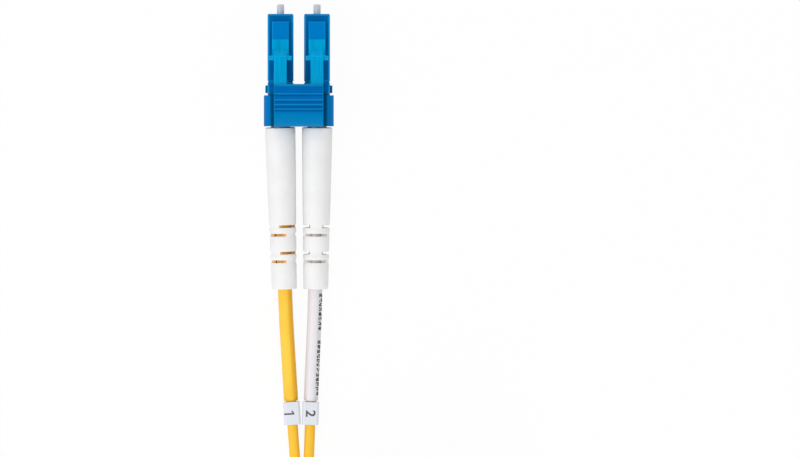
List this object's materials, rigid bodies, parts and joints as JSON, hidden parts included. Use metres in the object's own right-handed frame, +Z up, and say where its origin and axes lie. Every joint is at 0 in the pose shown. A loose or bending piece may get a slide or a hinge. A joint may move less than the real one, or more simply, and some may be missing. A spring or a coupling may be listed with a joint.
{
  "type": "duplex fibre patch cord connector",
  "caption": "Duplex LC fibre connector: square latching plugs with ceramic ferrules in a shared clip with release trigger, slotted boots, marked legs and a coiled twin cord.",
  "frame": {"origin": "under the middle of the near connector, on the surface that it lies on", "axes": "+Y the way the near ferrules point, +Z up on the latch side, +X across the pair"},
  "size_m": [0.0396, 0.1886, 0.0179],
  "materials": {
    "zirconia": "polished",
    "flange_metal": "turned nickel plate",
    "spring_steel": "drawn wire",
    "buffer": "smooth",
    "guide_tube": "translucent white",
    "plug_blue": "moulded, satin",
    "clip_blue": "moulded, satin",
    "yarn": "aramid yarn",
    "crimp_metal": "dark plated",
    "boot_white": "smooth white elastomer",
    "sleeve_yellow": "smooth",
    "sleeve_white": "smooth, dot print",
    "marker_grey": "smooth",
    "jacket_yellow": "extruded, satin",
    "tie_white": "flat strap"
  },
  "bodies": {
    "connector": {"aramid_yarn_1": "yarn", "aramid_yarn_2": "yarn", "boot_1": "boot_white", "boot_2": "boot_white", "coil_tie": "tie_white", "cord_coil": "jacket_yellow", "crimp_sleeve_1": "crimp_metal", "crimp_sleeve_2": "crimp_metal", "duplex_clip": "clip_blue", "far_aramid_yarns": "yarn", "far_boot_1": "boot_white", "far_boot_2": "boot_white", "far_crimp_sleeves": "crimp_metal", "far_duplex_clip": "clip_blue", "far_ferrule_spring_1": "spring_steel", "far_ferrule_spring_2": "spring_steel", "far_guide_tubes": "guide_tube", "far_leg_cord_1": "jacket_yellow", "far_leg_cord_2": "jacket_yellow", "far_leg_sleeves": "sleeve_white", "far_marker_sleeves": "marker_grey", "far_plug_housing_1": "plug_blue", "far_plug_housing_2": "plug_blue", "far_rear_body_1": "plug_blue", "far_rear_body_2": "plug_blue", "ferrule_spring_1": "spring_steel", "ferrule_spring_2": "spring_steel", "guide_tube_1": "guide_tube", "guide_tube_2": "guide_tube", "leg_cord_1": "jacket_yellow", "leg_cord_2": "jacket_yellow", "leg_sleeve_1": "sleeve_yellow", "leg_sleeve_2": "sleeve_white", "leg_tie": "tie_white", "marker_sleeve_1": "marker_grey", "marker_sleeve_2": "marker_grey", "plug_housing_1": "plug_blue", "plug_housing_2": "plug_blue", "rear_body_1": "plug_blue", "rear_body_2": "plug_blue", "zip_lead": "jacket_yellow", "zip_tail": "jacket_yellow"},
    "trigger": {"clip_trigger": "clip_blue"},
    "latch_1": {"latch_lever_1": "plug_blue"},
    "float_1": {"ferrule_1": "zirconia", "ferrule_flange_1": "flange_metal", "fibre_1": "buffer"},
    "latch_2": {"latch_lever_2": "plug_blue"},
    "float_2": {"ferrule_2": "zirconia", "ferrule_flange_2": "flange_metal", "fibre_2": "buffer"},
    "far_trigger": {"far_clip_trigger": "clip_blue"},
    "far_latch_1": {"far_latch_lever_1": "plug_blue"},
    "far_float_1": {"far_ferrule_1": "zirconia", "far_ferrule_flange_1": "flange_metal", "far_fibre_1": "buffer"},
    "far_latch_2": {"far_latch_lever_2": "plug_blue"},
    "far_float_2": {"far_ferrule_2": "zirconia", "far_ferrule_flange_2": "flange_metal", "far_fibre_2": "buffer"}
  },
  "joints": [
    {"name": "trigger_press", "type": "hinge", "parent": "connector", "child": "trigger", "pos_m": [0, 0.00368, 0.00621], "axis": [-1, 0, 0], "range_deg": [0, 9], "stiffness_Nm_per_rad": 0.05},
    {"name": "latch_bend_1", "type": "hinge", "parent": "connector", "child": "latch_1", "pos_m": [-0.00313, 0.01835, 0.00614], "axis": [1, 0, 0], "range_deg": [0, 11.25], "stiffness_Nm_per_rad": 0.02},
    {"name": "latch_bend_2", "type": "hinge", "parent": "connector", "child": "latch_2", "pos_m": [0.00313, 0.01835, 0.00614], "axis": [1, 0, 0], "range_deg": [0, 11.25], "stiffness_Nm_per_rad": 0.02},
    {"name": "ferrule_float_1", "type": "slide", "parent": "connector", "child": "float_1", "axis": [0, -1, 0], "range_m": [0, 0.0008], "stiffness_N_per_m": 500, "deforming": ["ferrule_spring_1"]},
    {"name": "ferrule_float_2", "type": "slide", "parent": "connector", "child": "float_2", "axis": [0, -1, 0], "range_m": [0, 0.0008], "stiffness_N_per_m": 500, "deforming": ["ferrule_spring_2"]},
    {"name": "far_trigger_press", "type": "hinge", "parent": "connector", "child": "far_trigger", "pos_m": [0.02765, -0.08132, 0.01388], "axis": [-1, 0, 0], "range_deg": [0, 9], "stiffness_Nm_per_rad": 0.05},
    {"name": "far_latch_bend_1", "type": "hinge", "parent": "connector", "child": "far_latch_1", "pos_m": [0.02453, -0.06665, 0.01381], "axis": [1, 0, 0], "range_deg": [0, 11.25], "stiffness_Nm_per_rad": 0.02},
    {"name": "far_latch_bend_2", "type": "hinge", "parent": "connector", "child": "far_latch_2", "pos_m": [0.03078, -0.06665, 0.01381], "axis": [1, 0, 0], "range_deg": [0, 11.25], "stiffness_Nm_per_rad": 0.02},
    {"name": "far_ferrule_float_1", "type": "slide", "parent": "connector", "child": "far_float_1", "axis": [0, -1, 0], "range_m": [0, 0.0008], "stiffness_N_per_m": 500, "deforming": ["far_ferrule_spring_1"]},
    {"name": "far_ferrule_float_2", "type": "slide", "parent": "connector", "child": "far_float_2", "axis": [0, -1, 0], "range_m": [0, 0.0008], "stiffness_N_per_m": 500, "deforming": ["far_ferrule_spring_2"]}
  ],
  "couplings": [
    {"joint": "latch_bend_1", "follows": "trigger_press", "ratio": 1.25},
    {"joint": "latch_bend_2", "follows": "trigger_press", "ratio": 1.25},
    {"joint": "far_latch_bend_1", "follows": "far_trigger_press", "ratio": 1.25},
    {"joint": "far_latch_bend_2", "follows": "far_trigger_press", "ratio": 1.25}
  ]
}
